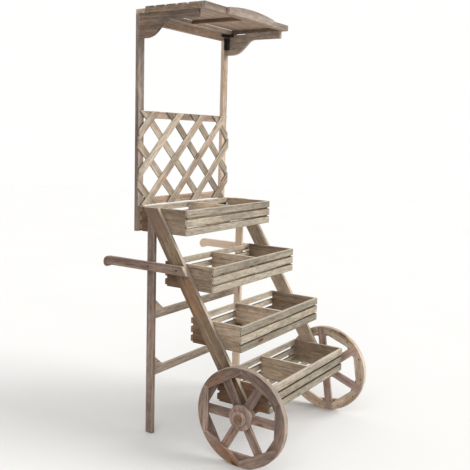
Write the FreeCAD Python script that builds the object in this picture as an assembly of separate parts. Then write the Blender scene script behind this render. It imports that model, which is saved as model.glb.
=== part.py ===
import FreeCAD, Part
import math
import os

# Plant trolley: four stepped slatted boxes between two sloping stringers, two spoked wheels,
# rear legs, handles, a trellis on two posts and a slatted roof on corbels.
# Units are mm, +Z is up, +Y is the handle end, X is the width (right side is +X).
# Lengths along Y are first worked out from the axle, then moved so that the
# origin is the middle of the footprint on the floor.

# ---- timber ------------------------------------------------------------------------------
BOARD = 18.0            # thickness of stringers, legs, handles, posts, rails and corbels
SLAT = 10.0             # thickness of the upright box slats
PANEL = 12.0            # thickness of box end panels and dividers
LATH = 6.0              # thickness of one trellis layer
EASE = 1.0              # chamfer on every sawn edge

# ---- boxes -------------------------------------------------------------------------------
BOX_LENGTH = 650.0      # along X, also the distance between the two stringers
BOX_DEPTH = 243.0
SLAT_WIDTH = 30.0
SLAT_GAP = 6.5
SLATS_HIGH = 3
BACK_SLAT_WIDTH = 24.0  # the slats at the back are narrower and leave wider gaps
FLOOR_SLATS = 5
FLOOR_SLAT_WIDTH = 29.0
FLOOR_THICK = 6.0
TIERS = 4
TIER_DROP = 214.0       # height from one box to the next
TIER_STEP = 135.5       # how far each box stands forward of the one above
LOWEST_BOX = 216.0      # underside of the lowest box above the floor
BOX_FORWARD = 21.0      # box centre line ahead of the stringer centre line
NAIL_RADIUS = 1.6
NAIL_HEAD = 0.4         # how far nail heads stand proud
NAIL_INSET = 6.0        # nail centre from the slat end

# ---- wheels ------------------------------------------------------------------------------
WHEEL_RADIUS = 196.0
RIM_WIDTH = 46.0        # radial width at the middle of a segment
SEGMENTS = 6
FELLOE = 12.5           # thickness of the outer rim layer
SPOKE_THICK = 13.0      # thickness of spokes and inner rim layer
SPOKE_WIDTH = 35.0
HUB_RADIUS = 50.0
HUB_THICK = 13.0
AXLE_RADIUS = 16.0
AXLE_STUB = 10.0        # axle end beyond its collar
COLLAR_RADIUS = 29.0
COLLAR_THICK = 10.0
WASHER_RADIUS = 38.0
WASHER_THICK = 14.0
RUNNING_FIT = 0.05      # radial clearance of the wheels on the axle
SIDE_PLAY = 0.5         # clearance on each side of a wheel along the axle
RIGHT_WHEEL_TURN = 21.0  # degrees the right wheel is turned from the left one
RIM_SCREW_RADIUS = 3.0
RIM_SCREW_HEAD = 0.8
RIM_SCREW_SPREAD = 15.0  # degrees each side of the middle of an inner rim segment

# ---- side frames -------------------------------------------------------------------------
STRINGER_WIDTH = 64.0
LEG_DEPTH = 35.0
LEG_BACK = 497.0        # rear face of the legs behind the axle
CROSSBAR_HEIGHT = 32.0
CROSSBAR_SET_BACK = 8.0  # crossbar front face behind the leg front face
UPPER_CROSSBAR = 495.0  # underside above the floor
LOWER_CROSSBAR = 250.0
GUSSET_LENGTH = 66.0
GUSSET_HEIGHT = 55.0

# ---- handles -----------------------------------------------------------------------------
HANDLE_HEIGHT = 36.0
HANDLE_LEVEL = 703.5    # underside above the floor
HANDLE_END = 725.0      # rear tip behind the axle
GRIP_LENGTH = 45.0      # length of the shaped end
GRIP_DROP = 9.5         # how far the hook hangs below the handle
GRIP_NOSE = 9.0         # height of the rearmost point above the underside
HANDLE_SCREW_RADIUS = 4.0
HANDLE_SCREW_HEAD = 1.2

# ---- posts and trellis -------------------------------------------------------------------
POST_WIDTH = 35.0
POST_LENGTH = 882.0
POST_BELOW = 3.0        # how far the posts reach below the highest box
PACKER = 14.5           # strip between the top box and each post
RAIL_HEIGHT = 29.0
TRELLIS_LIFT = 2.5      # from the top of the highest box to the trellis
TRELLIS_HEIGHT = 389.5
LATH_WIDTH = 34.0
LATTICE_PITCH = 172.0   # from one diamond to the next along X
LATTICE_RISE = 164.0    # from one diamond to the next along Z
LATTICE_LIFT = 192.5    # from the foot of the trellis to the middle of a diamond
LATH_OVERHANG = 5.0     # lath ends beyond the outer face of the posts

# ---- roof --------------------------------------------------------------------------------
ROOF_BACK_WIDTH = 46.5
ROOF_BACK_THICK = 17.0
ROOF_SLATS = 5
ROOF_SLAT_WIDTH = 44.0
ROOF_SLAT_GAP = 9.5
ROOF_SLAT_THICK = 8.0
BATTEN_THICK = 17.0
FASCIA_DEPTH = 32.0
FASCIA_GAP = 3.0        # between the last roof slat and the fascia
ARCH_LENGTH = 350.0
ARCH_THICK = 12.5
ARCH_RISE = 13.0
ROOF_RAIL_HEIGHT = 32.0
CORBEL_DROP = 97.0      # height of a corbel at the post
CORBEL_REACH = 290.5
CORBEL_ARM = 30.5       # height of its slender front part
CORBEL_FLAT = 30.0      # level part of the lower edge, next to the post
CORBEL_CURVE = 150.0    # from the post to the end of the ogee
CORBEL_NOSE = 13.0      # radius under the front end
RELIEF_START = 48.5     # shallow relief in the corbel top, measured from the post
RELIEF_LENGTH = 56.0
RELIEF_DEPTH = 5.0

# ---- corner irons ------------------------------------------------------------------------
IRON = 2.0
IRON_LEG = 20.0
IRON_HEIGHT = 56.0
IRON_SPACE = 3.0        # between the tall iron and the low one above it
TOP_IRON_LEG = 42.0
TOP_IRON_HEIGHT = 15.0
IRON_SCREW_RADIUS = 2.8
IRON_SCREW_HEAD = 1.0

# ---- sizes that follow -------------------------------------------------------------------
INSIDE = BOX_LENGTH / 2
OUTSIDE = INSIDE + BOARD
BOX_HEIGHT = SLATS_HIGH * SLAT_WIDTH + (SLATS_HIGH - 1) * SLAT_GAP
SLOPE = TIER_STEP / TIER_DROP
STRINGER_RUN = STRINGER_WIDTH * math.hypot(1.0, SLOPE)
TOP_BOX = LOWEST_BOX + (TIERS - 1) * TIER_DROP
STRINGER_TOP = TOP_BOX + BOX_HEIGHT
POST_FOOT = TOP_BOX - POST_BELOW
POST_TOP = POST_FOOT + POST_LENGTH
TRELLIS_FOOT = STRINGER_TOP + TRELLIS_LIFT
TRELLIS_TOP = TRELLIS_FOOT + TRELLIS_HEIGHT
LATTICE_CENTRE = TRELLIS_FOOT + LATTICE_LIFT
BORE_RADIUS = AXLE_RADIUS + RUNNING_FIT
WHEEL_INNER = OUTSIDE + WASHER_THICK + SIDE_PLAY
WHEEL_OUTER = WHEEL_INNER + SPOKE_THICK + FELLOE
COLLAR_FACE = WHEEL_INNER + SPOKE_THICK + HUB_THICK + SIDE_PLAY
AXLE_END = COLLAR_FACE + COLLAR_THICK + AXLE_STUB
AXLE_Y = -(HANDLE_END - WHEEL_RADIUS) / 2
ROOF_SLAT_BASE = POST_TOP + BATTEN_THICK


def stringer_centre(z):
    """Y of the stringer centre line at height z."""
    return AXLE_Y + (z - WHEEL_RADIUS) * SLOPE


def box_front(base):
    """Y of the front face of the box whose underside is at height base."""
    return stringer_centre(base + BOX_HEIGHT / 2) - BOX_FORWARD - BOX_DEPTH / 2


LEG_REAR = AXLE_Y + LEG_BACK
LEG_FRONT = LEG_REAR - LEG_DEPTH
POST_FRONT = box_front(TOP_BOX) + BOX_DEPTH + PACKER
POST_REAR = POST_FRONT + BOARD
POST_INNER = INSIDE - POST_WIDTH
CORBEL_INNER = INSIDE - BOARD


def ease(solid):
    """Take the sharpness off every edge of a sawn piece."""
    return solid.makeChamfer(EASE, solid.Edges)


def block(x, y, z):
    """Rectangular solid from (low, high) pairs along X, Y and Z."""
    size = [high - low for low, high in (x, y, z)]
    return Part.makeBox(*size, FreeCAD.Vector(x[0], y[0], z[0]))


def board(x, y, z):
    """Sawn board with eased edges."""
    return ease(block(x, y, z))


def across_x(y_z, x):
    """Closed outline of (y, z) points pushed along X from x[0] to x[1]."""
    corners = [FreeCAD.Vector(x[0], y, z) for y, z in y_z]
    face = Part.Face(Part.makePolygon(corners + corners[:1]))
    return face.extrude(FreeCAD.Vector(x[1] - x[0], 0, 0))


def across_y(x_z, y):
    """Closed outline of (x, z) points pushed along Y from y[0] to y[1]."""
    corners = [FreeCAD.Vector(x, y[0], z) for x, z in x_z]
    face = Part.Face(Part.makePolygon(corners + corners[:1]))
    return face.extrude(FreeCAD.Vector(0, y[1] - y[0], 0))


def curved_side(segments, x):
    """Outline in the YZ plane pushed along X. A segment has two points (line) or three (arc)."""
    edges = []
    for segment in segments:
        points = [FreeCAD.Vector(x[0], y, z) for y, z in segment]
        curve = Part.Arc(*points) if len(points) == 3 else Part.LineSegment(*points)
        edges.append(curve.toShape())
    return Part.Face(Part.Wire(edges)).extrude(FreeCAD.Vector(x[1] - x[0], 0, 0))


def disc(radius, x, y, z):
    """Round solid with its axis along X, from x[0] to x[1]."""
    start = FreeCAD.Vector(x[0], y, z)
    return Part.makeCylinder(radius, x[1] - x[0], start, FreeCAD.Vector(1, 0, 0))


def mirrored(shape):
    """The same piece on the other side of the trolley."""
    return shape.mirror(FreeCAD.Vector(0, 0, 0), FreeCAD.Vector(1, 0, 0))


def both(shape):
    """A right-hand piece together with its left-hand twin."""
    return [mirrored(shape), shape]


def save(name, solids):
    """Write one node; a list of separate solids shares the node."""
    shape = solids if isinstance(solids, Part.Shape) else Part.makeCompound(solids)
    shape.exportStep(os.path.join("parts", name + ".step"))


def save_pair(name, right):
    """Write the right-hand piece and its mirror image as two nodes."""
    save(name + "_right", right)
    save(name + "_left", mirrored(right))


def build_boxes():
    """Four identical boxes and the nails at the ends of their upright slats."""
    nails = []
    for tier in range(1, TIERS + 1):
        base = TOP_BOX - (tier - 1) * TIER_DROP
        front = box_front(base)
        back = front + BOX_DEPTH
        top = base + BOX_HEIGHT
        inner = (front + SLAT, back - SLAT)
        levels = [base + row * (SLAT_WIDTH + SLAT_GAP) for row in range(SLATS_HIGH)]
        name = "box_%d_" % tier

        save(name + "ends", both(board((INSIDE - PANEL, INSIDE), inner, (base, top))))
        save(name + "divider", board((-PANEL / 2, PANEL / 2), inner, (base + FLOOR_THICK, top)))
        walls = (("front", (front, inner[0]), SLAT_WIDTH, front - NAIL_HEAD),
                 ("back", (inner[1], back), BACK_SLAT_WIDTH, back))
        for side, depth, width, nail_face in walls:
            save(name + side + "_slats", [
                board((-INSIDE, INSIDE), depth, (low + SLAT_WIDTH - width, low + SLAT_WIDTH))
                for low in levels])
            if side == "back" and tier == 1:
                continue  # the post packers cover these nails
            for low in levels:
                start = FreeCAD.Vector(
                    INSIDE - NAIL_INSET, nail_face, low + SLAT_WIDTH - width / 2)
                nails += both(Part.makeCylinder(
                    NAIL_RADIUS, NAIL_HEAD, start, FreeCAD.Vector(0, 1, 0)))

        pitch = (inner[1] - inner[0]) / FLOOR_SLATS
        ends = [inner[1] - row * pitch for row in range(FLOOR_SLATS)]
        save(name + "floor_slats", [
            board((-INSIDE + PANEL, INSIDE - PANEL), (end - FLOOR_SLAT_WIDTH, end),
                  (base, base + FLOOR_THICK)) for end in ends])
    save("slat_nails", nails)


def build_side_frames():
    """Stringers, legs, crossbars and gussets."""
    side = (INSIDE, OUTSIDE)
    half = STRINGER_RUN / 2
    reach = STRINGER_WIDTH / 2
    tilt = math.atan(SLOPE)
    low_y, low_z = reach * math.cos(tilt), reach * math.sin(tilt)
    top_y = stringer_centre(STRINGER_TOP)
    front_low = (AXLE_Y - low_y, WHEEL_RADIUS + low_z)
    rear_low = (AXLE_Y + low_y, WHEEL_RADIUS - low_z)
    tip = (AXLE_Y - low_z, WHEEL_RADIUS - low_y)
    front_top, rear_top = (top_y - half, STRINGER_TOP), (top_y + half, STRINGER_TOP)
    stringer = ease(curved_side([
        (rear_low, rear_top), (rear_top, front_top), (front_top, front_low),
        (front_low, tip, rear_low)], side))
    bore = disc(AXLE_RADIUS, side, AXLE_Y, WHEEL_RADIUS)
    save_pair("stringer", stringer.cut(bore))

    def meets_stringer(y):
        return WHEEL_RADIUS + (y - half - AXLE_Y) / SLOPE

    save_pair("leg", ease(across_x([
        (LEG_FRONT, 0), (LEG_REAR, 0), (LEG_REAR, meets_stringer(LEG_REAR)),
        (LEG_FRONT, meets_stringer(LEG_FRONT))], side)))

    depth = (LEG_FRONT + CROSSBAR_SET_BACK, LEG_FRONT + CROSSBAR_SET_BACK + BOARD)
    gussets = []
    for name, low in (("upper", UPPER_CROSSBAR), ("lower", LOWER_CROSSBAR)):
        high = low + CROSSBAR_HEIGHT
        save("crossbar_" + name, board((-INSIDE, INSIDE), depth, (low, high)))
        gussets += both(ease(across_y([
            (INSIDE, high), (INSIDE, high + GUSSET_HEIGHT),
            (INSIDE - GUSSET_LENGTH, high)], depth)))
    save("gussets", gussets)


def build_handles():
    """Handles screwed to the outside of the stringers and legs, hooked at the grip."""
    side = (OUTSIDE, OUTSIDE + BOARD)
    top = HANDLE_LEVEL + HANDLE_HEIGHT
    half = STRINGER_RUN / 2
    tip = AXLE_Y + HANDLE_END
    hook = HANDLE_LEVEL - GRIP_DROP
    front_top = (stringer_centre(top) - half, top)
    front_low = (stringer_centre(HANDLE_LEVEL) - half, HANDLE_LEVEL)
    nose = (tip, HANDLE_LEVEL + GRIP_NOSE)
    over, under = top - nose[1], nose[1] - hook
    lean = math.sqrt(0.5)
    crown, chin = (tip - over, top), (tip - under, hook)
    brow = (tip - over + lean * over, nose[1] + lean * over)
    jaw = (tip - under + lean * under, nose[1] - lean * under)
    neck = (tip - GRIP_LENGTH, HANDLE_LEVEL)
    handle = curved_side([
        (front_low, front_top), (front_top, crown), (crown, brow, nose), (nose, jaw, chin),
        (chin, neck), (neck, front_low)], side)
    save_pair("handle", ease(handle))

    level = HANDLE_LEVEL + HANDLE_HEIGHT / 2
    heads = []
    for y in (stringer_centre(level), (LEG_FRONT + LEG_REAR) / 2):
        heads += both(disc(HANDLE_SCREW_RADIUS, (side[1], side[1] + HANDLE_SCREW_HEAD), y, level))
    save("handle_screws", heads)


def wheel_point(radius, angle):
    """Point (y, z) at a radius and an angle in degrees from the axle."""
    turn = math.radians(angle)
    return AXLE_Y + radius * math.cos(turn), WHEEL_RADIUS + radius * math.sin(turn)


def beside_spoke(along, side, angle):
    """Point (y, z) at a distance along a spoke and to one side of its centre line."""
    turn = math.radians(angle)
    y = AXLE_Y + along * math.cos(turn) - side * math.sin(turn)
    return y, WHEEL_RADIUS + along * math.sin(turn) + side * math.cos(turn)


def build_wheels():
    """Wheels built up from two rim layers, spokes and a hub disc; both turn on one fixed axle."""
    pitch = 360.0 / SEGMENTS
    flat = WHEEL_RADIUS - RIM_WIDTH
    edge = SPOKE_WIDTH / 2
    inner_layer = (WHEEL_INNER, WHEEL_INNER + SPOKE_THICK)
    outer_layer = (inner_layer[1], WHEEL_OUTER)
    hub = (inner_layer[1], inner_layer[1] + HUB_THICK)
    bore = disc(BORE_RADIUS, (WHEEL_INNER, hub[1]), AXLE_Y, WHEEL_RADIUS)
    half_turn = math.radians(pitch / 2)
    spoke_end = math.sqrt(WHEEL_RADIUS ** 2 - edge ** 2)
    corner = flat / math.cos(half_turn)
    filler_corner = (flat - edge * math.sin(half_turn)) / math.cos(half_turn)

    felloe = ease(curved_side([
        (wheel_point(corner, -pitch / 2), wheel_point(WHEEL_RADIUS, -pitch / 2)),
        (wheel_point(WHEEL_RADIUS, -pitch / 2), wheel_point(WHEEL_RADIUS, 0),
         wheel_point(WHEEL_RADIUS, pitch / 2)),
        (wheel_point(WHEEL_RADIUS, pitch / 2), wheel_point(corner, pitch / 2)),
        (wheel_point(corner, pitch / 2), wheel_point(corner, -pitch / 2))], outer_layer))
    filler = ease(curved_side([
        (beside_spoke(filler_corner, edge, 0), beside_spoke(spoke_end, edge, 0)),
        (beside_spoke(spoke_end, edge, 0), wheel_point(WHEEL_RADIUS, pitch / 2),
         beside_spoke(spoke_end, -edge, pitch)),
        (beside_spoke(spoke_end, -edge, pitch), beside_spoke(filler_corner, -edge, pitch)),
        (beside_spoke(filler_corner, -edge, pitch), beside_spoke(filler_corner, edge, 0))],
        inner_layer))
    wedge = edge / math.tan(half_turn)
    spoke = ease(curved_side([
        (wheel_point(0, 0), beside_spoke(wedge, -edge, 0)),
        (beside_spoke(wedge, -edge, 0), beside_spoke(spoke_end, -edge, 0)),
        (beside_spoke(spoke_end, -edge, 0), wheel_point(WHEEL_RADIUS, 0),
         beside_spoke(spoke_end, edge, 0)),
        (beside_spoke(spoke_end, edge, 0), beside_spoke(wedge, edge, 0)),
        (beside_spoke(wedge, edge, 0), wheel_point(0, 0))], inner_layer)).cut(bore)
    hub_disc = ease(disc(HUB_RADIUS, hub, AXLE_Y, WHEEL_RADIUS)).cut(bore)

    centre = FreeCAD.Vector(0, AXLE_Y, WHEEL_RADIUS)
    for side, start in (("right", RIGHT_WHEEL_TURN), ("left", 0.0)):
        def placed(shape, angle):
            turned = shape.copy()
            turned.rotate(centre, FreeCAD.Vector(1, 0, 0), angle)
            return turned if side == "right" else mirrored(turned)

        turns = [start + step * pitch for step in range(SEGMENTS)]
        save("felloes_" + side, [placed(felloe, turn) for turn in turns])
        save("rim_backing_" + side, [placed(filler, turn) for turn in turns])
        save("spokes_" + side, [placed(spoke, turn) for turn in turns])
        save("hub_" + side, placed(hub_disc, start))
        head = (WHEEL_INNER - RIM_SCREW_HEAD, WHEEL_INNER)
        screw = disc(RIM_SCREW_RADIUS, head, *wheel_point(WHEEL_RADIUS - RIM_WIDTH / 3, pitch / 2))
        save("rim_screws_" + side, [
            placed(screw, turn + spread) for turn in turns
            for spread in (-RIM_SCREW_SPREAD, RIM_SCREW_SPREAD)])

    save("axle", ease(disc(AXLE_RADIUS, (-AXLE_END, AXLE_END), AXLE_Y, WHEEL_RADIUS)))
    shaft = disc(AXLE_RADIUS, (INSIDE, AXLE_END), AXLE_Y, WHEEL_RADIUS)
    washer = disc(WASHER_RADIUS, (OUTSIDE, OUTSIDE + WASHER_THICK), AXLE_Y, WHEEL_RADIUS)
    collar = disc(COLLAR_RADIUS, (COLLAR_FACE, COLLAR_FACE + COLLAR_THICK), AXLE_Y, WHEEL_RADIUS)
    save("axle_collars", both(ease(washer).cut(shaft)) + both(ease(collar).cut(shaft)))


def build_trellis():
    """Posts standing behind the top box, with rails and two layers of crossing laths."""
    depth = (POST_FRONT, POST_REAR)
    save_pair("post", board((POST_INNER, INSIDE), depth, (POST_FOOT, POST_TOP)))
    save("post_packers", both(board(
        (POST_INNER, INSIDE), (POST_FRONT - PACKER, POST_FRONT), (TOP_BOX, STRINGER_TOP))))
    for name, low in (("bottom", TRELLIS_FOOT), ("top", TRELLIS_TOP - RAIL_HEIGHT)):
        save("trellis_rail_" + name,
             board((-POST_INNER, POST_INNER), depth, (low, low + RAIL_HEIGHT)))

    end = INSIDE + LATH_OVERHANG
    steep = LATTICE_RISE / LATTICE_PITCH
    reach = LATTICE_PITCH * SEGMENTS
    half = LATH_WIDTH / 2 * math.hypot(1.0, steep)
    for name, sense, front in (("front", 1, POST_FRONT - 2 * LATH), ("back", -1, POST_FRONT - LATH)):
        layer = (front, front + LATH)
        panel = block((-end, end), layer, (TRELLIS_FOOT, TRELLIS_TOP))
        laths = []
        for step in range(-SEGMENTS, SEGMENTS):
            middle = (step + 0.5) * LATTICE_PITCH
            rise = sense * steep * reach
            lath = across_y([
                (middle - reach, LATTICE_CENTRE - rise - half),
                (middle + reach, LATTICE_CENTRE + rise - half),
                (middle + reach, LATTICE_CENTRE + rise + half),
                (middle - reach, LATTICE_CENTRE - rise + half)], layer).common(panel)
            if lath.Volume > 2 * LATH_WIDTH ** 2 * LATH:
                laths.append(ease(lath.Solids[0]))
        save("laths_" + name, laths)


def build_roof():
    """Corbels, battens, slats and fascia, with the rail and irons that tie them to the posts."""
    rear_board_front = POST_REAR - ROOF_BACK_WIDTH
    save("roof_rear_board", board((-INSIDE, INSIDE), (rear_board_front, POST_REAR),
                                  (POST_TOP, POST_TOP + ROOF_BACK_THICK)))
    save("roof_rear_rail", board((-POST_INNER, POST_INNER), (POST_FRONT, POST_REAR),
                                 (POST_TOP - ROOF_RAIL_HEIGHT, POST_TOP)))

    pitch = ROOF_SLAT_WIDTH + ROOF_SLAT_GAP
    slat_fronts = [rear_board_front - ROOF_SLAT_WIDTH - 2 * EASE - row * pitch
                   for row in range(ROOF_SLATS)]
    roof_slat_z = (ROOF_SLAT_BASE, ROOF_SLAT_BASE + ROOF_SLAT_THICK)
    save("roof_slats", [board((-INSIDE, INSIDE), (front, front + ROOF_SLAT_WIDTH), roof_slat_z)
                        for front in slat_fronts])

    fascia_back = slat_fronts[-1] - FASCIA_GAP
    fascia_front = fascia_back - FASCIA_DEPTH
    fascia_top = ROOF_SLAT_BASE + ROOF_SLAT_THICK
    run = (fascia_back, rear_board_front)
    batten_z = (POST_TOP, ROOF_SLAT_BASE)
    save("roof_battens", both(board((CORBEL_INNER, INSIDE), run, batten_z))
         + [board((-BOARD / 2, BOARD / 2), run, batten_z)])
    save("fascia", board((-INSIDE, INSIDE), (fascia_front, fascia_back), (POST_TOP, fascia_top)))

    half = ARCH_LENGTH / 2
    front = fascia_front - ARCH_THICK
    ends = [FreeCAD.Vector(x, front, z) for x, z in (
        (half, POST_TOP), (-half, POST_TOP), (-half, fascia_top), (half, fascia_top))]
    crown = FreeCAD.Vector(0, front, fascia_top + ARCH_RISE)
    outline = [Part.LineSegment(ends[0], ends[1]).toShape(),
               Part.LineSegment(ends[1], ends[2]).toShape(),
               Part.Arc(ends[2], crown, ends[3]).toShape(),
               Part.LineSegment(ends[3], ends[0]).toShape()]
    arch = Part.Face(Part.Wire(outline)).extrude(FreeCAD.Vector(0, ARCH_THICK, 0))
    save("fascia_arch", ease(arch))

    save_pair("corbel", build_corbel())
    build_irons()


def build_corbel():
    """Ogee bracket: deep at the post, slender at the front, with a shallow relief on top."""
    foot = POST_TOP - CORBEL_DROP
    arm = POST_TOP - CORBEL_ARM
    ogee_run = CORBEL_CURVE - CORBEL_FLAT
    ogee_rise = arm - foot
    tip = POST_FRONT - CORBEL_REACH

    def ogee(along, up):
        return POST_FRONT - CORBEL_FLAT - along * ogee_run, foot + up * ogee_rise

    nose_low = (tip + CORBEL_NOSE, arm)
    nose_high = (tip, arm + 0.4 * CORBEL_NOSE)
    nose_mid = (tip + 0.22 * CORBEL_NOSE, arm + 0.08 * CORBEL_NOSE)
    relief = POST_FRONT - RELIEF_START
    relief_end = relief - RELIEF_LENGTH
    floor = POST_TOP - RELIEF_DEPTH
    outline = [
        ((POST_FRONT, POST_TOP), (POST_FRONT, foot)),
        ((POST_FRONT, foot), ogee(0.0, 0.0)),
        (ogee(0.0, 0.0), ogee(0.27, 0.10), ogee(0.50, 0.37)),
        (ogee(0.50, 0.37), ogee(0.72, 0.72)),
        (ogee(0.72, 0.72), ogee(0.84, 0.91), ogee(1.0, 1.0)),
        (ogee(1.0, 1.0), nose_low),
        (nose_low, nose_mid, nose_high),
        (nose_high, (tip, POST_TOP)),
        ((tip, POST_TOP), (relief_end, POST_TOP)),
        ((relief_end, POST_TOP), (relief_end, floor)),
        ((relief_end, floor), (relief, floor)),
        ((relief, floor), (relief, POST_TOP)),
        ((relief, POST_TOP), (POST_FRONT, POST_TOP))]
    return curved_side(outline, (CORBEL_INNER, INSIDE))


def corner_iron(leg, low, high):
    """Bent plate in the corner between the front of the post and the inside of the corbel."""
    return block((CORBEL_INNER - leg, CORBEL_INNER), (POST_FRONT - IRON, POST_FRONT),
                 (low, high)).fuse(
        block((CORBEL_INNER - IRON, CORBEL_INNER), (POST_FRONT - leg, POST_FRONT),
              (low, high))).removeSplitter()


def build_irons():
    """A tall iron on each post and a long low one above it, and their screws."""
    high = POST_TOP - TOP_IRON_HEIGHT - IRON_SPACE
    low = high - IRON_HEIGHT
    top_low = POST_TOP - TOP_IRON_HEIGHT
    save("corner_irons", both(corner_iron(IRON_LEG, low, high))
         + both(corner_iron(TOP_IRON_LEG, top_low, POST_TOP)))

    places = [(IRON_LEG / 2 + IRON / 2, z)
              for z in (low + IRON_HEIGHT / 4, high - IRON_HEIGHT / 4)]
    places.append((TOP_IRON_LEG - IRON_LEG / 2, top_low + TOP_IRON_HEIGHT / 2))
    heads = []
    for out, z in places:
        face = POST_FRONT - IRON - IRON_SCREW_HEAD
        start = FreeCAD.Vector(CORBEL_INNER - out, face, z)
        heads += both(Part.makeCylinder(
            IRON_SCREW_RADIUS, IRON_SCREW_HEAD, start, FreeCAD.Vector(0, 1, 0)))
        side = (CORBEL_INNER - IRON - IRON_SCREW_HEAD, CORBEL_INNER - IRON)
        heads += both(disc(IRON_SCREW_RADIUS, side, POST_FRONT - out, z))
    save("iron_screws", heads)


os.makedirs("parts", exist_ok=True)
build_boxes()
build_side_frames()
build_handles()
build_wheels()
build_trellis()
build_roof()
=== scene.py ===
"""Looks of a weathered plant trolley: bare softwood, iron corner plates, nails and screws."""

import math

import bpy
from bpy.props import FloatProperty, FloatVectorProperty, PointerProperty
from mathutils import Matrix, Vector


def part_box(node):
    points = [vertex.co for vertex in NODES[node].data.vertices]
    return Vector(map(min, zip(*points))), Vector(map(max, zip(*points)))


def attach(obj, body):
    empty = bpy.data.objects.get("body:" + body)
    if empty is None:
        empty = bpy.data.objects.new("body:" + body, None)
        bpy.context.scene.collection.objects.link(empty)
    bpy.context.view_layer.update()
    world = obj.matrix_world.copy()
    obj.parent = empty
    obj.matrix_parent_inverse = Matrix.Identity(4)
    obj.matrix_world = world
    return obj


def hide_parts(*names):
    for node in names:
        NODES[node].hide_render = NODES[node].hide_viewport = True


bl_info = {
    "name": "Plant Trolley",
    "version": (1, 0, 0),
    "blender": (4, 5, 0),
    "location": "3D View > Sidebar > Trolley",
    "description": "Weathers the timber of a plant trolley and adds its nails and screws",
    "category": "Object",
}

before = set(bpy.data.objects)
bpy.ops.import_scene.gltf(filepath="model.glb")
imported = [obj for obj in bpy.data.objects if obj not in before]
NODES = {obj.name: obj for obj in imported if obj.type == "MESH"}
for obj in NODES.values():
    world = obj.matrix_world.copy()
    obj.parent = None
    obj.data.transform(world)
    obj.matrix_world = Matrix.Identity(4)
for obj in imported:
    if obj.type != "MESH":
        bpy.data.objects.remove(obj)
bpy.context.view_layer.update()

SIDES = ("left", "right")
TIERS = (1, 2, 3, 4)
X = Vector((1, 0, 0))
Y = Vector((0, 1, 0))
Z = Vector((0, 0, 1))

# How the pieces repeat, with lengths in metres.
UPRIGHTS = 3         # slats on top of each other at a box's front and back
FRONT_SLAT = 0.030
BACK_SLAT = 0.024
FRONT_GAP = 0.0065
BACK_GAP = 0.0125
SLAT_ROW = 0.0365    # from one upright slat to the next, at front and back
FLOOR_SLATS = 5
FLOOR_GAP = 0.0156
ROOF_SLATS = 5
ROOF_GAP = 0.0095
LATH_RISE = 0.164    # height of one diamond of the trellis
LATH_RUN = 0.172     # and its width
LATH_CENTRE = 1.156  # height of the middle diamond's centre
SEGMENTS = 6         # in each layer of a wheel's rim
RIGHT_WHEEL_TURN = math.radians(21.0)

# Where painted shade starts on a box's outer left face, in metres behind the middle of the
# stringer.
SHADE_START = 0.020
SHADE_FADE = 0.016
BEHIND_WHEEL = -0.5  # so far forward that the painted shade covers the whole face

# Bands in which a finish sets in or ends, in metres before an outer edge.
TOP_EDGE = (0.0022, 0.0012)  # rubbed top edge of the upright slats
GAP_SHADE_END = (0.006, 0.003)   # end of the painted shade in their gaps
TREAD = (0.0022, 0.0010)     # rubbed outer edge of the wheels
BLUSH = (0.140, 0.118)       # pinkish patch at the top of the left stringer
BLUSH_RAGGED = 0.06          # how far its lower end wanders

# The same inwards from a left-hand face.
STRINGER_SKIN = (0.0010, 0.0030)
BOX_SKIN = (0.0005, 0.0035)

# Radius and height of each kind of head, in metres.
NAIL_HEAD = (0.0016, 0.0004)
HANDLE_HEAD = (0.004, 0.0012)
IRON_HEAD = (0.0028, 0.001)
RIM_HEAD = (0.003, 0.0008)
NAIL_IN = 0.006  # from a slat's end to its nails

# Scale of each pattern of the timber: over the board's width, through it and along its grain.
WANDER = (9, 9, 2.2)
KNOT_CELLS = (16, 2.5, 4.6)
STREAKS = (150, 150, 4.0)
FIBRES = (620, 620, 14)
BANDS = (42, 42, 1.4)
BLOTCHES = (11, 11, 5)
CHECKS = (210, 210, 5.5)
DAMP = (8, 8, 4)
MOTTLE = (110, 110, 26)
SUN_PATCHES = (70, 70, 12)

BOARD_SHIFT = (0.7, 0.9, 3.1)  # the most that a board's patterns are moved, in metres
BOARDS_PER_NODE = 7.0          # room for the board numbers of one node
TOWARDS_SUN = (0.0, -0.62, 0.78)

# Stage.
KEY_WAY = (-0.41, 0.74, -0.54)
FILL_WAY = (0.62, 0.24, -0.75)
FLOOR_RADIUS = 14.0
FLOOR_BORDER = 9.0
SENSOR = 36.0
LENS_SHIFT = (-0.0026, -0.0062)


# ---- settings ----

def colour(name, description, default):
    return FloatVectorProperty(name=name, description=description, default=default,
                               subtype="COLOR", size=3, min=0.0, max=1.0)


def length(name, description, default):
    return FloatProperty(name=name, description=description, default=default,
                         subtype="DISTANCE", unit="LENGTH", min=0.0)


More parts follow.
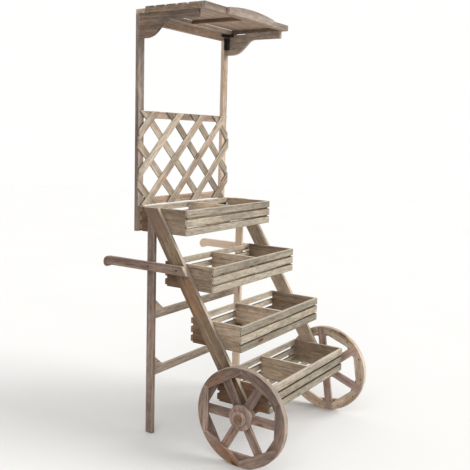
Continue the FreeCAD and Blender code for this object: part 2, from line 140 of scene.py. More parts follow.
class TimberSettings(bpy.types.PropertyGroup):
    """Colours of the bare timber, of the shade and light painted on it, and how far its edges and
    grain have weathered.
    """

    slat_light: colour("Slat, bleached", "Front slats", (0.330, 0.292, 0.226))
    slat_deep: colour("Slat, grain", "Grain of the front slats", (0.215, 0.180, 0.135))
    back_slat_light: colour("Back slat, bleached", "Back slats", (0.50, 0.44, 0.345))
    back_slat_deep: colour("Back slat, grain", "Grain of the back slats", (0.28, 0.23, 0.17))
    floor_slat_light: colour("Floor slat, bleached", "Thin floor slats", (0.74, 0.69, 0.62))
    floor_slat_deep: colour("Floor slat, grain", "Grain of the floor slats", (0.44, 0.39, 0.33))
    panel_light: colour("Panel, bleached", "End panels", (0.37, 0.282, 0.204))
    panel_deep: colour("Panel, grain", "Grain of the panels", (0.190, 0.130, 0.086))
    divider_light: colour("Divider, bleached", "Dividers in the boxes", (0.64, 0.51, 0.39))
    divider_deep: colour("Divider, grain", "Grain of the dividers", (0.38, 0.28, 0.20))
    stringer_light: colour("Stringer, bleached", "Left stringer, roof battens, post packers",
                           (0.200, 0.142, 0.093))
    stringer_deep: colour("Stringer, grain", "Grain of the left stringer", (0.078, 0.050, 0.031))
    post_light: colour("Post, bleached", "Left post", (0.26, 0.215, 0.185))
    post_deep: colour("Post, grain", "Grain of the left post", (0.095, 0.069, 0.057))
    leg_light: colour("Leg, bleached", "Left leg", (0.37, 0.28, 0.23))
    leg_deep: colour("Leg, grain", "Grain of the left leg", (0.15, 0.10, 0.078))
    handle_light: colour("Handle, bleached", "Left handle", (0.28, 0.195, 0.155))
    handle_deep: colour("Handle, grain", "Grain of the left handle", (0.10, 0.060, 0.045))
    bar_light: colour("Bar, bleached", "Crossbars, gussets, roof rear, right corbel",
                      (0.54, 0.44, 0.355))
    bar_deep: colour("Bar, grain", "Grain of the bars", (0.25, 0.185, 0.14))
    pale_light: colour("Pale side, bleached", "Paler right-hand pieces", (0.60, 0.485, 0.375))
    pale_deep: colour("Pale side, grain", "Grain of the paler pieces", (0.33, 0.24, 0.175))
    fresh_light: colour("Fresh, bleached", "Right handle, the least weathered", (0.80, 0.64, 0.52))
    fresh_deep: colour("Fresh, grain", "Grain of the right handle", (0.54, 0.39, 0.30))
    wheel_light: colour("Wheel, bleached", "Left wheel's rim and spokes", (0.28, 0.205, 0.166))
    wheel_deep: colour("Wheel, grain", "Grain of the left wheel", (0.10, 0.060, 0.048))
    hub_light: colour("Hub, bleached", "Hubs, collars, right spokes", (0.42, 0.295, 0.25))
    hub_deep: colour("Hub, grain", "Grain of the hubs", (0.17, 0.112, 0.09))
    axle_light: colour("Axle, bleached", "The axle", (0.26, 0.155, 0.098))
    axle_deep: colour("Axle, grain", "Grain of the axle", (0.10, 0.056, 0.036))
    lath_light: colour("Lath, bleached", "Trellis laths", (0.36, 0.305, 0.235))
    lath_deep: colour("Lath, grain", "Grain of the laths", (0.17, 0.12, 0.085))
    rail_light: colour("Rail, bleached", "Trellis rails, rear roof rail", (0.38, 0.285, 0.215))
    rail_deep: colour("Rail, grain", "Grain of the rails", (0.19, 0.115, 0.075))
    corbel_light: colour("Corbel, bleached", "Left corbel", (0.20, 0.150, 0.115))
    corbel_deep: colour("Corbel, grain", "Grain of the left corbel", (0.072, 0.046, 0.035))
    roof_light: colour("Roof, bleached", "Roof slats, fascia and its arch", (0.34, 0.285, 0.235))
    roof_deep: colour("Roof, grain", "Grain of the roof", (0.13, 0.096, 0.075))
    # Painted shade: darkens what lies in the shadow of the stringer and the left wheel, and the
    # left post's outer face.
    painted_shade: colour("Painted shade", "Darkens what stays out of the sun", (0.40, 0.27, 0.20))
    blush: colour("Blush", "Heartwood at the left stringer's top", (0.175, 0.104, 0.084))
    # Painted light: lightens the inward (-X) faces of the right leg, handle and post.
    inner: colour("Inner side", "Inward faces of the paler pieces", (0.84, 0.66, 0.52))
    # Painted light: lightens the downward faces of the roof slats, battens and fascia.
    under: colour("Underside", "Orange timber under the roof", (0.64, 0.38, 0.24))
    end_grain: colour("End grain", "Darkens the ends of the roof slats", (0.45, 0.45, 0.47))
    # Painted shade along the slat edges beside the narrow gaps.
    gap_shade: colour("Gap shade", "Darkens the edges inside narrow gaps", (0.30, 0.23, 0.17))
    stain: colour("Resin stain", "Patches where resin comes through", (0.26, 0.125, 0.06))
    knot: colour("Knot", "Heart of a knot", (0.075, 0.042, 0.026))
    edge: colour("Worn edge", "Rubbed corners and arrises", (0.66, 0.60, 0.50))
    edge_width: length("Edge width", "How far wear reaches in from an arris", 0.0022)
    grain_depth: length("Grain depth", "How deep the weathered grain stands", 0.0006)


class HardwareSettings(bpy.types.PropertyGroup):
    """Colours of nails, screws and the iron corner plates, and the screws' recess."""

    iron: colour("Iron", "Satin black paint of the corner plates", (0.028, 0.026, 0.025))
    rust: colour("Rust", "Worn spots on irons, screws and nails", (0.13, 0.055, 0.025))
    screw: colour("Screw", "Dark plated screw heads", (0.055, 0.048, 0.042))
    nail: colour("Nail", "Dull nail heads", (0.20, 0.18, 0.16))
    recess: FloatProperty(name="Recess", description="Half width of the cross per head radius",
                          default=0.24, min=0.05, max=0.5, subtype="FACTOR")


class StageSettings(bpy.types.PropertyGroup):
    """Camera, lights and floor."""

    camera: FloatVectorProperty(name="Camera", description="Where the camera stands",
                                default=(-2.554, -1.6146, 1.2567), subtype="TRANSLATION",
                                unit="LENGTH", size=3)
    turn: FloatProperty(name="Turn", description="Heading of the camera from +X towards +Y",
                        default=math.radians(32.62), subtype="ANGLE", unit="ROTATION")
    tilt: FloatProperty(name="Tilt", description="Camera tilt above the horizon",
                        default=math.radians(-7.71), subtype="ANGLE", unit="ROTATION")
    roll: FloatProperty(name="Roll", description="Camera roll about its line of sight",
                        default=math.radians(1.6), subtype="ANGLE", unit="ROTATION")
    lens: FloatProperty(name="Lens", description="Focal length in millimetres",
                        default=53.89, min=1.0, subtype="DISTANCE_CAMERA", unit="CAMERA")
    key: FloatProperty(name="Key light", description="Strength of the broad light at the front",
                       default=2.9, min=0.0)
    fill: FloatProperty(name="Fill light", description="Strength of the light from the left",
                        default=0.8, min=0.0)
    softness: FloatProperty(name="Softness", description="How wide both lights spread",
                            default=math.radians(38.0), subtype="ANGLE", unit="ROTATION")
    room: FloatProperty(name="Room light", description="Strength of the even light all round",
                        default=0.8, min=0.0)
    floor: colour("Floor", "Pale studio floor", (0.68, 0.68, 0.675))
    backdrop: colour("Backdrop", "Pale surroundings that the camera sees", (1.0, 1.0, 0.995))


def timber():
    return bpy.context.scene.trolley_timber


def hardware():
    return bpy.context.scene.trolley_hardware


# ---- node groups shared by the materials ----

class Wiring:
    """Adds nodes to one tree and links them, so that a material reads from top to bottom."""

    def __init__(self, tree):
        self.tree = tree

    def add(self, kind, attributes=None, **inputs):
        node = self.tree.nodes.new(kind)
        for name, value in (attributes or {}).items():
            setattr(node, name, value)
        for name, value in inputs.items():
            self.feed(node.inputs[name.replace("_", " ")], value)
        return node

    def shared(self, name, make, **inputs):
        """The named node group, which is made the first time that it is asked for."""
        tree = bpy.data.node_groups.get(name) or make()
        return self.add("ShaderNodeGroup", {"node_tree": tree}, **inputs)

    def feed(self, socket, value):
        if isinstance(value, bpy.types.NodeSocket):
            self.tree.links.new(value, socket)
        elif isinstance(value, bpy.types.Node):
            self.tree.links.new(value.outputs[0], socket)
        elif socket.type == "RGBA" and len(value) == 3:
            socket.default_value = (*value, 1.0)
        else:
            socket.default_value = value

    def math(self, operation, *values):
        node = self.tree.nodes.new("ShaderNodeMath")
        node.operation = operation
        for socket, value in zip(node.inputs, values):
            self.feed(socket, value)
        return node.outputs[0]

    def vector(self, operation, *values):
        node = self.tree.nodes.new("ShaderNodeVectorMath")
        node.operation = operation
        for socket, value in zip(node.inputs, values):
            self.feed(socket, value)
        return node.outputs["Value" if operation == "DOT_PRODUCT" else "Vector"]

    def mix(self, factor, first, second, blend="MIX"):
        node = self.tree.nodes.new("ShaderNodeMix")
        node.data_type = "RGBA"
        node.blend_type = blend
        node.clamp_factor = True
        for socket, value in zip((node.inputs[0], node.inputs[6], node.inputs[7]),
                                 (factor, first, second)):
            self.feed(socket, value)
        return node.outputs[2]

    def noise(self, vector, scale, detail=2.0, roughness=0.5):
        return self.add("ShaderNodeTexNoise", Vector=vector, Scale=scale, Detail=detail,
                        Roughness=roughness).outputs["Fac"]

    def stretched_noise(self, vector, stretch, detail=2.0, roughness=0.5):
        """Noise with its own scale along each axis, so that it runs with the grain."""
        return self.noise(self.vector("MULTIPLY", vector, stretch), 1.0, detail, roughness)

    def span(self, value, low, high, to_low=0.0, to_high=1.0):
        """Eases from to_low to to_high while the value goes from low to high."""
        node = self.tree.nodes.new("ShaderNodeMapRange")
        node.interpolation_type = "SMOOTHSTEP"
        for socket, given in zip(node.inputs, (value, low, high, to_low, to_high)):
            self.feed(socket, given)
        return node.outputs[0]


def new_group(name, inputs, outputs):
    """Empty node group with named sockets, returned with its wiring and both ends."""
    tree = bpy.data.node_groups.new(name, "ShaderNodeTree")
    for label, kind, default in inputs:
        socket = tree.interface.new_socket(label, in_out="INPUT", socket_type="NodeSocket" + kind)
        socket.default_value = default
    for label, kind in outputs:
        tree.interface.new_socket(label, in_out="OUTPUT", socket_type="NodeSocket" + kind)
    return tree, Wiring(tree), tree.nodes.new("NodeGroupInput"), tree.nodes.new("NodeGroupOutput")


def board_frame_group():
    """Turns a position so that X runs over the board's width, Y through it and Z along its grain.

    Board counts the boards in a stack, so that each one gets its own grain.
    """
    tree, wiring, given, out = new_group(
        "Board frame",
        [("Position", "Vector", (0, 0, 0)), ("Width", "Vector", (1, 0, 0)),
         ("Thickness", "Vector", (0, 1, 0)), ("Grain", "Vector", (0, 0, 1)),
         ("Stack", "Vector", (0, 0, 1)), ("First", "Float", 0.0), ("Pitch", "Float", 1.0)],
        [("Vector", "Vector"), ("Board", "Float")])
    position = given.outputs["Position"]
    parts = [wiring.vector("DOT_PRODUCT", position, given.outputs[way])
             for way in ("Width", "Thickness", "Grain")]
    wiring.feed(out.inputs["Vector"],
                wiring.add("ShaderNodeCombineXYZ", X=parts[0], Y=parts[1], Z=parts[2]))
    place = wiring.vector("DOT_PRODUCT", position, given.outputs["Stack"])
    place = wiring.math("SUBTRACT", place, given.outputs["First"])
    rows = wiring.math("DIVIDE", place, given.outputs["Pitch"])
    wiring.feed(out.inputs["Board"], wiring.math("FLOOR", rows))
    return tree


def wheel_frame_group():
    """The same for a wheel's segments: Spoke has its grain radial, Rim has it along the rim."""
    tree, wiring, given, out = new_group(
        "Wheel frame",
        [("Position", "Vector", (0, 0, 0)), ("Centre", "Vector", (0, 0, 0)),
         ("Start", "Float", 0.0), ("Step", "Float", 1.0)],
        [("Spoke", "Vector"), ("Rim", "Vector"), ("Board", "Float")])
    start = given.outputs["Start"]
    step = given.outputs["Step"]
    local = wiring.vector("SUBTRACT", given.outputs["Position"], given.outputs["Centre"])
    x, y, z = wiring.add("ShaderNodeSeparateXYZ", Vector=local).outputs
    angle = wiring.math("SUBTRACT", wiring.math("ARCTAN2", z, y), start)
    sector = wiring.math("ROUND", wiring.math("DIVIDE", angle, step))
    heading = wiring.math("ADD", wiring.math("MULTIPLY", sector, step), start)
    cos = wiring.math("COSINE", heading)
    sin = wiring.math("SINE", heading)
    along = wiring.math("ADD", wiring.math("MULTIPLY", y, cos), wiring.math("MULTIPLY", z, sin))
    across = wiring.math("SUBTRACT", wiring.math("MULTIPLY", z, cos),
                         wiring.math("MULTIPLY", y, sin))
    wiring.feed(out.inputs["Spoke"], wiring.add("ShaderNodeCombineXYZ", X=across, Y=x, Z=along))
    wiring.feed(out.inputs["Rim"], wiring.add("ShaderNodeCombineXYZ", X=along, Y=x, Z=across))
    count = wiring.math("DIVIDE", 2 * math.pi, step)
    number = wiring.math("FLOORED_MODULO", wiring.math("ADD", sector, count), count)
    wiring.feed(out.inputs["Board"], number)
    return tree


def edge_wear_group():
    """Mask that is 1 on the arrises of a piece and breaks up along them."""
    tree, wiring, given, out = new_group(
        "Edge wear",
        [("Vector", "Vector", (0, 0, 0)), ("Width", "Float", 0.002), ("Patches", "Float", 40.0)],
        [("Mask", "Float")])
    bevel = wiring.add("ShaderNodeBevel", {"samples": 4}, Radius=given.outputs["Width"])
    flat = wiring.add("ShaderNodeNewGeometry").outputs["True Normal"]
    bend = wiring.math("SUBTRACT", 1.0, wiring.vector("DOT_PRODUCT", bevel, flat))
    patches = wiring.noise(given.outputs["Vector"], given.outputs["Patches"], 3.0)
    rubbed = wiring.span(patches, 0.35, 0.62)
    wiring.feed(out.inputs["Mask"], wiring.math("MULTIPLY", wiring.span(bend, 0.02, 0.20), rubbed))
    return tree


def sun_bleach_group():
    """Mask that grows on faces turned up and forwards, where the sun has bleached them."""
    tree, wiring, given, out = new_group(
        "Sun bleach", [("Vector", "Vector", (0, 0, 0)), ("Amount", "Float", 0.5)],
        [("Mask", "Float")])
    flat = wiring.add("ShaderNodeNewGeometry").outputs["True Normal"]
    facing = wiring.vector("DOT_PRODUCT", flat, TOWARDS_SUN)
    patches = wiring.stretched_noise(given.outputs["Vector"], SUN_PATCHES, 3.0)
    patches = wiring.span(patches, 0.30, 0.60, 0.45, 1.0)
    lit = wiring.math("MULTIPLY", wiring.span(facing, 0.66, 0.78), patches)
    wiring.feed(out.inputs["Mask"], wiring.math("MULTIPLY", lit, given.outputs["Amount"]))
    return tree


def timber_group():
    """Weathered softwood: streaked grain, knots, checks, resin stains and a tone for each board."""
    tree, wiring, given, out = new_group(
        "Weathered softwood",
        [("Vector", "Vector", (0, 0, 0)), ("Board", "Float", 0.0), ("Light", "Color", (1, 1, 1, 1)),
         ("Deep", "Color", (0, 0, 0, 1)), ("Stain", "Color", (0, 0, 0, 1)),
         ("Knot", "Color", (0, 0, 0, 1)), ("Stain amount", "Float", 0.4)],
        [("Color", "Color"), ("Roughness", "Float"), ("Height", "Float")])
    seed = wiring.add("ShaderNodeTexWhiteNoise", {"noise_dimensions": "1D"},
                      W=given.outputs["Board"])
    shift = wiring.vector("MULTIPLY", seed.outputs["Color"], BOARD_SHIFT)
    place = wiring.vector("ADD", given.outputs["Vector"], shift)

    # The grain wanders a little over the width, and bends round the knots.
    wander = wiring.math("MULTIPLY", wiring.stretched_noise(place, WANDER), 0.012)
    swayed = wiring.vector("ADD", place, wiring.add("ShaderNodeCombineXYZ", X=wander))
    spots = wiring.add("ShaderNodeTexVoronoi", {"voronoi_dimensions": "3D"},
                       Vector=wiring.vector("MULTIPLY", swayed, KNOT_CELLS), Scale=1.0,
                       Randomness=0.9)
    distance = spots.outputs["Distance"]
    lot = wiring.add("ShaderNodeSeparateXYZ", Vector=spots.outputs["Color"])
    chosen = wiring.math("GREATER_THAN", lot, 0.60)
    knot = wiring.math("MULTIPLY", wiring.span(distance, 0.07, 0.13, 1.0, 0.0), chosen)
    halo = wiring.math("MULTIPLY", wiring.span(distance, 0.08, 0.34, 1.0, 0.0), chosen)
    round_knot = wiring.add("ShaderNodeCombineXYZ", X=wiring.math("MULTIPLY", halo, 0.006))
    bent = wiring.vector("ADD", swayed, round_knot)

    streaks = wiring.stretched_noise(bent, STREAKS, 4.0, 0.62)
    fibres = wiring.stretched_noise(bent, FIBRES, 3.0, 0.6)
    bands = wiring.stretched_noise(bent, BANDS)
    blotch = wiring.stretched_noise(place, BLOTCHES, 3.0, 0.55)
    checks = wiring.span(wiring.stretched_noise(bent, CHECKS), 0.285, 0.335, 1.0, 0.0)

    # Colour, from the grain up to the knots and the drying cracks.
    tone = wiring.math("ADD", wiring.span(bands, 0.3, 0.7, 0.0, 0.55),
                       wiring.span(streaks, 0.34, 0.66, 0.0, 0.45))
    base = wiring.mix(tone, given.outputs["Light"], given.outputs["Deep"])
    base = wiring.mix(wiring.span(fibres, 0.35, 0.7, 0.0, 0.28), base, given.outputs["Light"])
    stained = wiring.math("MULTIPLY", wiring.span(blotch, 0.52, 0.74),
                          given.outputs["Stain amount"])
    base = wiring.mix(stained, base, given.outputs["Stain"])
    base = wiring.mix(wiring.math("MULTIPLY", halo, 0.45), base, given.outputs["Stain"])
    rings = wiring.math("SINE", wiring.math("MULTIPLY", distance, 150.0))
    heart = wiring.math("MULTIPLY", knot, wiring.span(rings, -1.0, 1.0, 0.72, 1.0))
    base = wiring.mix(heart, base, given.outputs["Knot"])
    base = wiring.mix(wiring.math("MULTIPLY", checks, 0.75), base, given.outputs["Knot"])

    # Light and dark: one tone for each board, damp patches, then fine mottling.
    shade = wiring.span(seed.outputs["Value"], 0.0, 1.0, 0.80, 1.14)
    damp = wiring.span(wiring.stretched_noise(place, DAMP), 0.32, 0.66, 0.80, 1.16)
    shade = wiring.math("MULTIPLY", shade, damp)
    mottle = wiring.span(wiring.stretched_noise(bent, MOTTLE, 4.0, 0.65), 0.3, 0.68, 0.76, 1.22)
    shade = wiring.math("MULTIPLY", shade, mottle)
    tint = wiring.add("ShaderNodeCombineColor", Red=shade, Green=shade, Blue=shade)
    wiring.feed(out.inputs["Color"], wiring.mix(1.0, base, tint.outputs[0], "MULTIPLY"))
    wiring.feed(out.inputs["Roughness"], wiring.span(streaks, 0.3, 0.7, 0.74, 0.92))

    relief = wiring.math("ADD", wiring.math("MULTIPLY", streaks, 0.55),
                         wiring.math("MULTIPLY", fibres, 0.25))
    relief = wiring.math("SUBTRACT", relief, wiring.math("MULTIPLY", checks, 0.8))
    relief = wiring.math("ADD", relief, wiring.math("MULTIPLY", knot, 0.35))
    wiring.feed(out.inputs["Height"], relief)
    return tree


# ---- materials ----

def new_material(name):
    material = bpy.data.materials.new(name)
    material.use_nodes = True
    material.node_tree.nodes.clear()
    wiring = Wiring(material.node_tree)
    shader = wiring.add("ShaderNodeBsdfPrincipled")
    output = wiring.add("ShaderNodeOutputMaterial")
    wiring.feed(output.inputs["Surface"], shader)
    position = wiring.add("ShaderNodeTexCoord").outputs["Object"]
    return material, wiring, shader, position


def finish_timber(wiring, shader, vector, board, colours, stain_amount, bleach=0.0):
    """Weathered softwood on a shader, once the position runs along the grain."""
    settings = timber()
    light, deep = (getattr(settings, colours + end) for end in ("_light", "_deep"))
    wood = wiring.shared("Weathered softwood", timber_group, Vector=vector, Board=board,
                         Light=light, Deep=deep, Stain=settings.stain, Knot=settings.knot,
                         Stain_amount=stain_amount)
    wear = wiring.shared("Edge wear", edge_wear_group, Vector=vector,
                         Width=settings.edge_width, Patches=38.0)
    mask = wiring.math("MULTIPLY", wear.outputs["Mask"], 0.7)
    if bleach:
        sunny = wiring.shared("Sun bleach", sun_bleach_group, Vector=vector, Amount=bleach)
        mask = wiring.math("MAXIMUM", mask, sunny)
    wiring.feed(shader.inputs["Base Color"],
                wiring.mix(mask, wood.outputs["Color"], settings.edge))
    wiring.feed(shader.inputs["Roughness"], wood.outputs["Roughness"])
    bump = wiring.add("ShaderNodeBump", Strength=0.7, Distance=settings.grain_depth,
                      Height=wood.outputs["Height"])
    wiring.feed(shader.inputs["Normal"], bump)
    shader.inputs["Specular IOR Level"].default_value = 0.22


def dress(node, material):
    """Puts a material on every slot of a CAD node."""
    slots = NODES[node].data.materials
    slots.clear()
    slots.append(material)


def own_number(wiring, board, node):
    """Number of a board that no board of another node has, so that none share a grain."""
    return wiring.math("ADD", board, sorted(NODES).index(node) * BOARDS_PER_NODE)


def dress_boards(node, colours, grain, width, stack=None, count=1, gap=0.0, first=None,
                 pitch=None, stain_amount=0.4, bleach=0.5):
    """Straight boards: grain and width are directions, and stack is the way the boards repeat.

    Returns the wiring, shader and position, for a finish that goes over the timber.
    """
    low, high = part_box(node)
    stack = stack or grain.cross(width)
    if pitch is None:
        start, end = sorted((low.dot(stack), high.dot(stack)))
        pitch = (end - start + gap) / count
        first = start - gap / 2
    material, wiring, shader, position = new_material("Timber_" + node)
    lined = wiring.shared("Board frame", board_frame_group, Position=position, Width=width,
                          Thickness=grain.cross(width), Grain=grain, Stack=stack, First=first,
                          Pitch=pitch)
    number = own_number(wiring, lined.outputs["Board"], node)
    finish_timber(wiring, shader, lined.outputs["Vector"], number, colours, stain_amount, bleach)
    dress(node, material)
    return wiring, shader, position


def over(wiring, shader, mask, tone, blend="MIX"):
    """Lays one more colour over the base colour that the shader already has."""
    below = shader.inputs["Base Color"].links[0].from_socket
    wiring.feed(shader.inputs["Base Color"], wiring.mix(mask, below, tone, blend))


def tone_faces(dressed, way, tone, amount, blend="MIX"):
    """Another tone on the faces turned one way: painted light or painted shade on one side of a
    piece, or darker end grain.
    """
    wiring, shader, _ = dressed
    flat = wiring.add("ShaderNodeNewGeometry").outputs["True Normal"]
    mask = wiring.span(wiring.vector("DOT_PRODUCT", flat, way), 0.6, 0.9, 0.0, amount)
    over(wiring, shader, mask, tone, blend)


def stringer_slope():
    """Direction of the stringers, from the lowest box up to the highest."""
    top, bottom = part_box("box_1_ends"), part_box("box_4_ends")
    slope = top[0] + top[1] - bottom[0] - bottom[1]
    return Vector((0, slope.y, slope.z)).normalized()


def near_edge(wiring, value, edge, band, amount):
    """Grows to amount while the value goes through a band before an edge."""
    return wiring.span(value, edge - band[0], edge - band[1], 0.0, amount)


def skin(wiring, position, face, near, far):
    """Mask that is 1 on a left-hand face, with face as its X, and fades inside it."""
    across = wiring.vector("DOT_PRODUCT", position, X)
    return wiring.span(across, face + near, face + far, 1.0, 0.0)


def paint_outer_face_shade(dressed, start=SHADE_START):
    """Paints shade on a box's outer left face, from start metres behind the middle of the stringer,
    where the stringer and the wheel shade it.
    """
    wiring, shader, position = dressed
    low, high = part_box("stringer_left")
    behind = X.cross(stringer_slope())
    behind *= 1.0 if behind.y > 0 else -1.0
    offset = wiring.math("SUBTRACT", wiring.vector("DOT_PRODUCT", position, behind),
                         ((low + high) / 2).dot(behind))
    mask = wiring.math("MULTIPLY", wiring.span(offset, start, start + SHADE_FADE),
                       skin(wiring, position, high.x, *BOX_SKIN))
    # Painted shade, multiplied over the timber of the face.
    over(wiring, shader, wiring.math("MULTIPLY", mask, 0.85), timber().painted_shade, "MULTIPLY")


def gap_shade(dressed, node, gap):
    """Painted shade on the edges of the upright slats across each gap, and a rubbed top edge."""
    wiring, shader, position = dressed
    low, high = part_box(node)
    pitch = (high.z - low.z + gap) / UPRIGHTS
    level = wiring.vector("DOT_PRODUCT", position, Z)
    rows = wiring.math("DIVIDE", wiring.math("SUBTRACT", level, low.z - gap / 2), pitch)
    nearest = wiring.math("ABSOLUTE", wiring.math("SUBTRACT", rows, wiring.math("ROUND", rows)))
    edge = gap / 2 / pitch
    mask = wiring.span(nearest, edge + 0.02, edge + 0.06, 1.0, 0.0)
    inside = wiring.span(level, high.z - GAP_SHADE_END[0], high.z - GAP_SHADE_END[1], 1.0, 0.0)
    mask = wiring.math("MULTIPLY", wiring.math("MULTIPLY", mask, inside), 0.9)
    # Painted shade in the gaps, multiplied over the timber.
    over(wiring, shader, mask, timber().gap_shade, "MULTIPLY")
    over(wiring, shader, near_edge(wiring, level, high.z, TOP_EDGE, 0.35), timber().edge)


def dress_wheel_part(node, side, colours, way, start):
    """Segments round the axle: way is Spoke for radial grain and Rim for grain along the rim."""
    low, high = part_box("felloes_" + side)
    centre = (low + high) / 2
    material, wiring, shader, position = new_material("Timber_" + node)
    turned = wiring.shared("Wheel frame", wheel_frame_group, Position=position, Centre=centre,
                           Start=start, Step=2 * math.pi / SEGMENTS)
    number = own_number(wiring, turned.outputs["Board"], node)
    finish_timber(wiring, shader, turned.outputs[way], number, colours, 0.5)
    reach = (high.z - low.z) / 2
    from_axle = wiring.vector("MULTIPLY", wiring.vector("SUBTRACT", position, centre), Y + Z)
    radius = wiring.add("ShaderNodeVectorMath", {"operation": "LENGTH"})
    wiring.feed(radius.inputs[0], from_axle)
    tread = near_edge(wiring, radius.outputs["Value"], reach, TREAD, 0.2)
    over(wiring, shader, tread, timber().edge)
    dress(node, material)


def metal_material(name, paint, metallic, roughness, rust_amount):
    """Painted or plated metal with rust coming through in spots and along its edges."""
    material, wiring, shader, position = new_material(name)
    speck = wiring.noise(position, 900.0, 4.0, 0.65)
    cloud = wiring.noise(position, 160.0, 3.0, 0.5)
    wear = wiring.shared("Edge wear", edge_wear_group, Vector=position, Width=0.0006,
                         Patches=400.0)
    spots = wiring.math("MULTIPLY", wiring.span(cloud, 0.48, 0.70), rust_amount)
    rusty = wiring.math("MAXIMUM", spots, wiring.math("MULTIPLY", wear.outputs["Mask"], 0.6))
    wiring.feed(shader.inputs["Base Color"], wiring.mix(rusty, paint, hardware().rust))
    wiring.feed(shader.inputs["Roughness"],
                wiring.span(wiring.math("ADD", speck, wiring.math("MULTIPLY", rusty, 0.5)),
                            0.3, 1.0, roughness, 0.85))
    shader.inputs["Metallic"].default_value = metallic
    wiring.feed(shader.inputs["Normal"],
                wiring.add("ShaderNodeBump", Strength=0.35, Distance=0.0002, Height=speck))
    return material


# ---- modelling helpers ----

def nothing_selected():
    bpy.ops.object.select_all(action="DESELECT")


def only(obj):
    nothing_selected()
    obj.select_set(True)
    bpy.context.view_layer.objects.active = obj


def pick(obj, mode, test):
    """In edit mode, selects the faces or edges whose middle passes a test, and nothing else."""
    bpy.ops.mesh.select_mode(type=mode)
    bpy.ops.mesh.select_all(action="DESELECT")
    bpy.ops.object.mode_set(mode="OBJECT")
    mesh = obj.data
    chosen = mesh.polygons if mode == "FACE" else mesh.edges
    for element in chosen:
        corners = [mesh.vertices[i].co for i in element.vertices]
        element.select = test(sum(corners, Vector()) / len(corners), element)
    bpy.ops.object.mode_set(mode="EDIT")


def head_pattern(name, radius, height, sides, recess):
    """One nail or screw head on the origin, its flat side on X = 0 and its crown towards +X.

    Its rim is rounded over. A recess above 0 sinks a cross into the crown.
    """
    nothing_selected()
    bpy.ops.mesh.primitive_cylinder_add(vertices=sides, radius=radius, depth=height,
                                        location=(0, 0, height / 2))
    head = bpy.context.object
    head.name = name
    head.data.name = name
    only(head)
    bpy.ops.object.transform_apply(location=True, rotation=True, scale=True)
    bpy.ops.object.mode_set(mode="EDIT")
    top = height * 0.999
    if recess:
        arm = recess * radius
        for normal in (X, Y):
            for sign in (-1, 1):
                bpy.ops.mesh.select_all(action="SELECT")
                bpy.ops.mesh.bisect(plane_co=normal * arm * sign, plane_no=normal)
        pick(head, "FACE", lambda middle, face: face.normal.z > 0.9 and (
            abs(middle.x) < arm or abs(middle.y) < arm) and middle.xy.length < radius * 0.7)
        bpy.ops.mesh.inset(thickness=arm * 0.25, use_boundary=True)
        bpy.ops.transform.translate(value=(0, 0, -height * 0.55))
    else:
        pick(head, "FACE", lambda middle, face: face.normal.z > 0.9)
        bpy.ops.mesh.inset(thickness=radius * 0.45)
    pick(head, "EDGE", lambda middle, edge: middle.z > top and middle.xy.length > radius * 0.9)
    bpy.ops.mesh.bevel(offset=height * 0.6, segments=3, profile=0.6)
    bpy.ops.mesh.select_all(action="SELECT")
    bpy.ops.mesh.normals_make_consistent(inside=False)
    bpy.ops.object.mode_set(mode="OBJECT")
    bpy.ops.object.shade_smooth_by_angle(angle=math.radians(35))
    head.data.transform(Z.rotation_difference(X).to_matrix().to_4x4())
    return head


def copies(pattern, name, places):
    """The pattern at each (position, direction, turn), joined to one piece."""
    made = []
    for position, direction, turn in places:
        copy = pattern.copy()
        copy.data = pattern.data.copy()
        bpy.context.scene.collection.objects.link(copy)
        spin = Matrix.Rotation(turn, 4, "X")
        facing = X.rotation_difference(direction).to_matrix().to_4x4()
        copy.data.transform(Matrix.Translation(position) @ facing @ spin)
        made.append(copy)
    bpy.data.objects.remove(pattern)
    nothing_selected()
    for copy in made:
        copy.select_set(True)
    bpy.context.view_layer.objects.active = made[0]
    bpy.ops.object.join()
    piece = bpy.context.object
    piece.name = name
    piece.data.name = name
    return piece


def fit_hardware(piece, material, body, node):
    """Gives finished hardware its material and lets it stand for its CAD node."""
    piece.data.materials.clear()
    piece.data.materials.append(material)
    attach(piece, body)
    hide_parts(node)


def solid_boxes(node):
    """Lowest and highest corner of each separate solid in a CAD node."""
    nothing_selected()
    copy = bpy.data.objects.new("parts", NODES[node].data.copy())
    bpy.context.scene.collection.objects.link(copy)
    only(copy)
    bpy.ops.object.mode_set(mode="EDIT")
    bpy.ops.mesh.select_all(action="SELECT")
    bpy.ops.mesh.remove_doubles(threshold=1e-5)
    bpy.ops.mesh.separate(type="LOOSE")
    bpy.ops.object.mode_set(mode="OBJECT")
    found = []
    for part in list(bpy.context.selected_objects):
        corners = [vertex.co.copy() for vertex in part.data.vertices]
        found.append((Vector(map(min, *corners)), Vector(map(max, *corners))))
        bpy.data.objects.remove(part)
    return sorted(found, key=lambda pair: tuple(round(v, 5) for v in pair[0]))


def solid_centres(node):
    return [(low + high) / 2 for low, high in solid_boxes(node)]


# ---- timber operators ----

class TROLLEY_OT_boxes(bpy.types.Operator):
    """Weather the slats, floors, ends and dividers of the four boxes"""

    bl_idname = "trolley.boxes"
    bl_label = "Boxes"

    def execute(self, context):
        for tier in TIERS:
            name = "box_%d_" % tier
            for side, colours, gap in (("front", "slat", FRONT_GAP),
                                       ("back", "back_slat", BACK_GAP)):
                node = name + side + "_slats"
                slats = dress_boards(node, colours, X, Z, Z, UPRIGHTS, gap, stain_amount=0.12,
                                     bleach=0.0)
                gap_shade(slats, node, gap)
                if side == "back":
                    paint_outer_face_shade(slats)
            dress_boards(name + "floor_slats", "floor_slat", X, Y, Y, FLOOR_SLATS, FLOOR_GAP,
                         stain_amount=0.1)
            ends = dress_boards(name + "ends", "panel", Y, Z, X, 2, stain_amount=0.35)
            # The lowest box's outer end lies in the wheel's shade, so all of it gets painted shade.
            paint_outer_face_shade(ends, BEHIND_WHEEL if tier == TIERS[-1] else SHADE_START)
            dress_boards(name + "divider", "divider", Y, Z, stain_amount=0.2)
        return {"FINISHED"}


